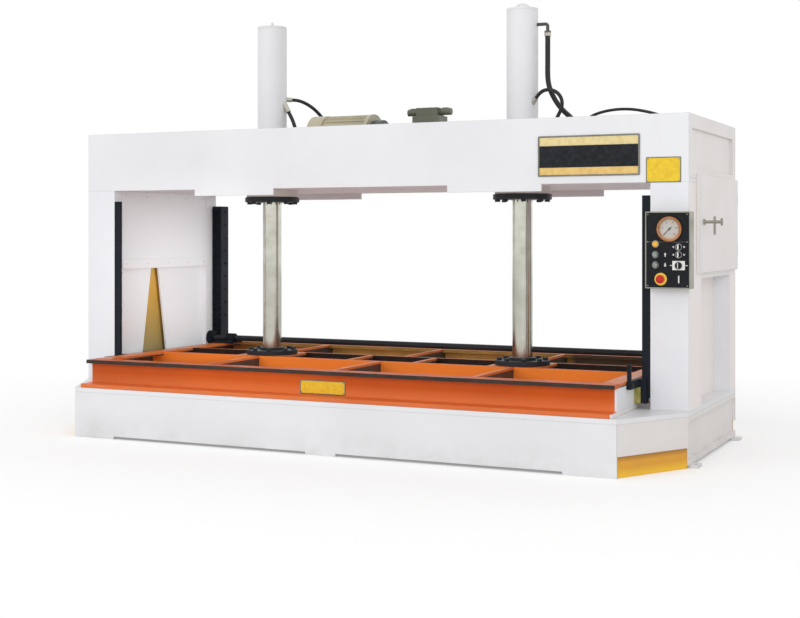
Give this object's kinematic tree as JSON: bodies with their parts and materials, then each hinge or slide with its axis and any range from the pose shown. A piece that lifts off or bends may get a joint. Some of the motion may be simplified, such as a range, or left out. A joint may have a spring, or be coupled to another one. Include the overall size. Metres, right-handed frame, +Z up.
{
  "type": "wood cold press",
  "caption": "Hydraulic cold press for glued wood: portal frame with overhead cylinders that lower a ribbed platen onto a bed, kept level by racks and a cross shaft",
  "frame": {"origin": "on the floor, at the middle of the anchor bolts' pattern", "axes": "+X along the beam towards the control box, +Y to the back, +Z up"},
  "size_m": [3.755, 1.7, 2.39],
  "materials": {
    "white_paint": "satin white enamel",
    "orange_paint": "satin orange enamel",
    "black_paint": "blue-black enamel",
    "yellow_paint": "satin yellow enamel",
    "grey_paint": "grey-green machine enamel",
    "chromed_rod": "polished",
    "bright_steel": "brushed",
    "fittings_brass": "plain",
    "hose_rubber": "smooth black",
    "panel_black": "matt",
    "black_plastic": "matt",
    "grey_plastic": "matt",
    "red_plastic": "gloss",
    "amber_lens": "gloss",
    "gauge_glass": "clear"
  },
  "bodies": {
    "frame": {"bed_plate": "white_paint", "base_aprons": "white_paint", "base_side_panels": "white_paint", "base_ribs": "white_paint", "kick_plates": "yellow_paint", "anchor_feet": "white_paint", "column_posts": "white_paint", "column_webs": "white_paint", "column_covers": "white_paint", "electrical_cabinet": "white_paint", "switchgear": "grey_plastic", "beam_side_plates": "white_paint", "beam_inner_plates": "white_paint", "beam_end_plates": "white_paint", "cylinder_tubes": "white_paint", "cylinder_caps": "white_paint", "gland_flanges": "black_paint", "gland_bolts": "black_paint", "oil_tank": "grey_paint", "tank_lid": "grey_paint", "motor_body": "grey_paint", "motor_fan_cover": "grey_paint", "pump_unit": "grey_paint", "valve_manifold": "bright_steel", "solenoid_valve": "black_plastic", "tank_breather": "black_plastic", "hose_fittings": "fittings_brass", "right_upper_hose": "hose_rubber", "right_lower_hose": "hose_rubber", "gauge_hose": "hose_rubber", "left_upper_hose": "hose_rubber", "left_lower_hose": "hose_rubber", "guide_rails": "black_paint", "rear_racks": "black_paint", "control_box": "bright_steel", "control_panel": "panel_black", "gauge_case": "fittings_brass", "gauge_glass": "gauge_glass", "panel_collars": "bright_steel", "pilot_lamp": "amber_lens"},
    "platen": {"pressing_plate": "orange_paint", "platen_beams": "orange_paint", "platen_ribs": "orange_paint", "platen_end_plates": "white_paint", "piston_rods": "chromed_rod", "rod_flanges": "black_paint", "rod_flange_bolts": "black_paint", "guide_brackets": "black_paint", "shaft_bearings": "black_paint"},
    "sync": {"sync_shaft": "black_paint", "sync_pinions": "black_paint"},
    "door": {"cabinet_door": "white_paint"},
    "handle": {"door_handle": "bright_steel"},
    "needle": {"gauge_needle": "red_plastic"},
    "raise": {"raise_button": "grey_plastic"},
    "lower": {"lower_button": "grey_plastic"},
    "estop": {"estop_button": "red_plastic"},
    "selector_a": {"selector_upper": "grey_plastic"},
    "selector_b": {"selector_lower": "grey_plastic"},
    "rotary": {"rotary_switch": "black_plastic"}
  },
  "joints": [
    {"name": "platen_slide", "type": "slide", "parent": "frame", "child": "platen", "axis": [0, 0, 1], "range_m": [0, 0.8]},
    {"name": "sync_spin", "type": "hinge", "parent": "platen", "child": "sync", "pos_m": [0, 0.46, 0.4575], "axis": [-1, 0, 0], "range_deg": [0, 1150]},
    {"name": "door_hinge", "type": "hinge", "parent": "frame", "child": "door", "pos_m": [1.811, 0.526, 1.1], "axis": [0, 0, 1], "range_deg": [0, 110]},
    {"name": "handle_turn", "type": "hinge", "parent": "door", "child": "handle", "pos_m": [1.82, -0.315, 1.19528], "axis": [1, 0, 0], "range_deg": [0, 90]},
    {"name": "raise_press", "type": "slide", "parent": "frame", "child": "raise", "axis": [0, 1, 0], "range_m": [0, 0.004], "stiffness_N_per_m": 400},
    {"name": "lower_press", "type": "slide", "parent": "frame", "child": "lower", "axis": [0, 1, 0], "range_m": [0, 0.004], "stiffness_N_per_m": 400},
    {"name": "estop_press", "type": "slide", "parent": "frame", "child": "estop", "axis": [0, 1, 0], "range_m": [0, 0.006], "stiffness_N_per_m": 400},
    {"name": "selector_a_turn", "type": "hinge", "parent": "frame", "child": "selector_a", "pos_m": [1.769, -0.623, 1.073], "axis": [0, 1, 0], "range_deg": [-45, 45]},
    {"name": "selector_b_turn", "type": "hinge", "parent": "frame", "child": "selector_b", "pos_m": [1.769, -0.623, 1.036], "axis": [0, 1, 0], "range_deg": [-45, 45]},
    {"name": "rotary_turn", "type": "hinge", "parent": "frame", "child": "rotary", "pos_m": [1.769, -0.623, 0.984], "axis": [0, 1, 0], "range_deg": [0, 90]},
    {"name": "needle_turn", "type": "hinge", "parent": "frame", "child": "needle", "pos_m": [1.725, -0.623, 1.159], "axis": [0, 1, 0], "range_deg": [0, 270]}
  ],
  "couplings": [
    {"joint": "sync_spin", "follows": "platen_slide", "rad_per_m": 25}
  ]
}
